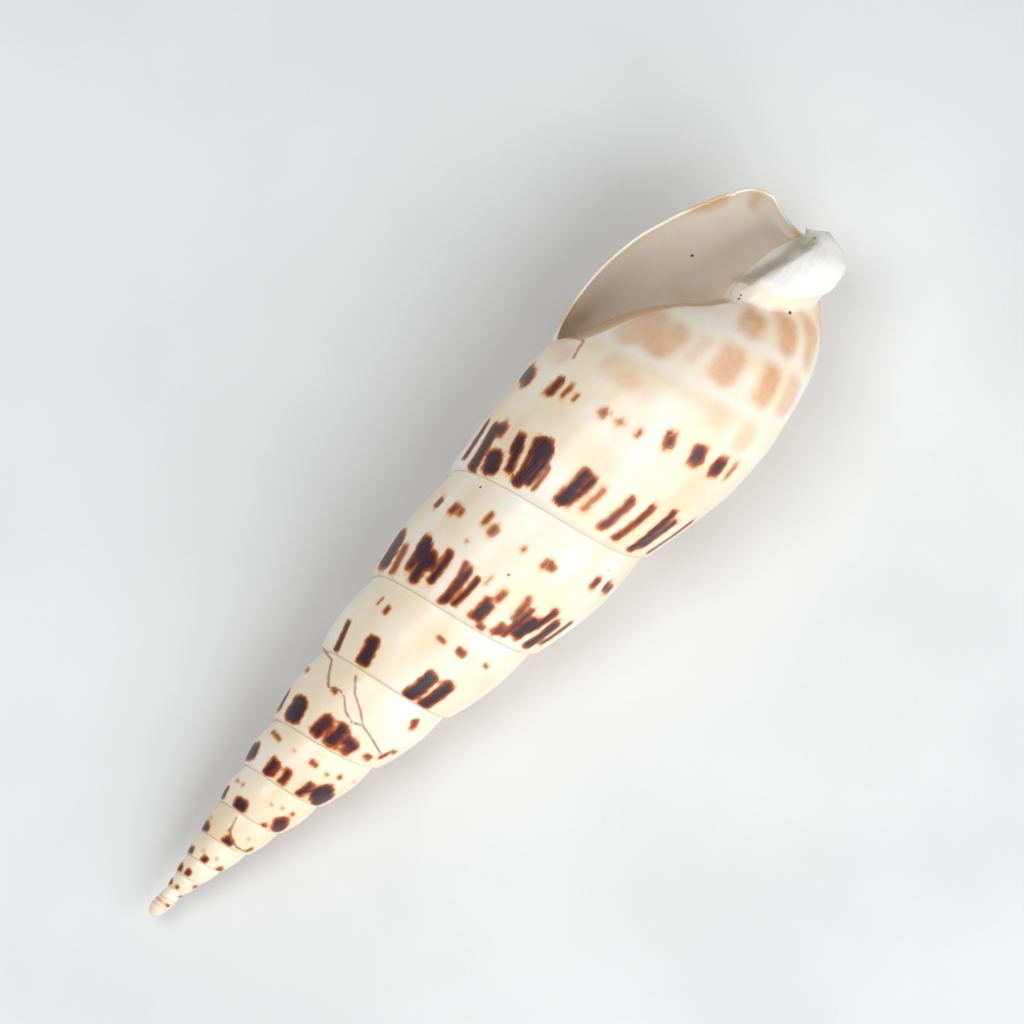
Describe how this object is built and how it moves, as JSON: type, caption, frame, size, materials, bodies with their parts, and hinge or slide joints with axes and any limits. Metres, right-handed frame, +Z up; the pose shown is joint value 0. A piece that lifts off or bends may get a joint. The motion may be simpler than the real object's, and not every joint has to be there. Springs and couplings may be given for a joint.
{
  "type": "marlinspike shell",
  "caption": "Long tapering sea shell, coiled to a blunt point, with an open mouth, a thin outer lip and a twisted pillar at the front end.",
  "frame": {"origin": "on the surface that the shell rests on, under the middle of its outline", "axes": "+X from the point towards the mouth end, +Y towards the outer lip, +Z up through the open mouth, as the shell lies"},
  "size_m": [0.159, 0.0418, 0.0392],
  "materials": {
    "shell": "natural polished shell: cream with dark brown marks in spiral rows, tan bands at the front, peach inside the mouth"
  },
  "bodies": {
    "root": {"shell": "shell"}
  },
  "joints": []
}
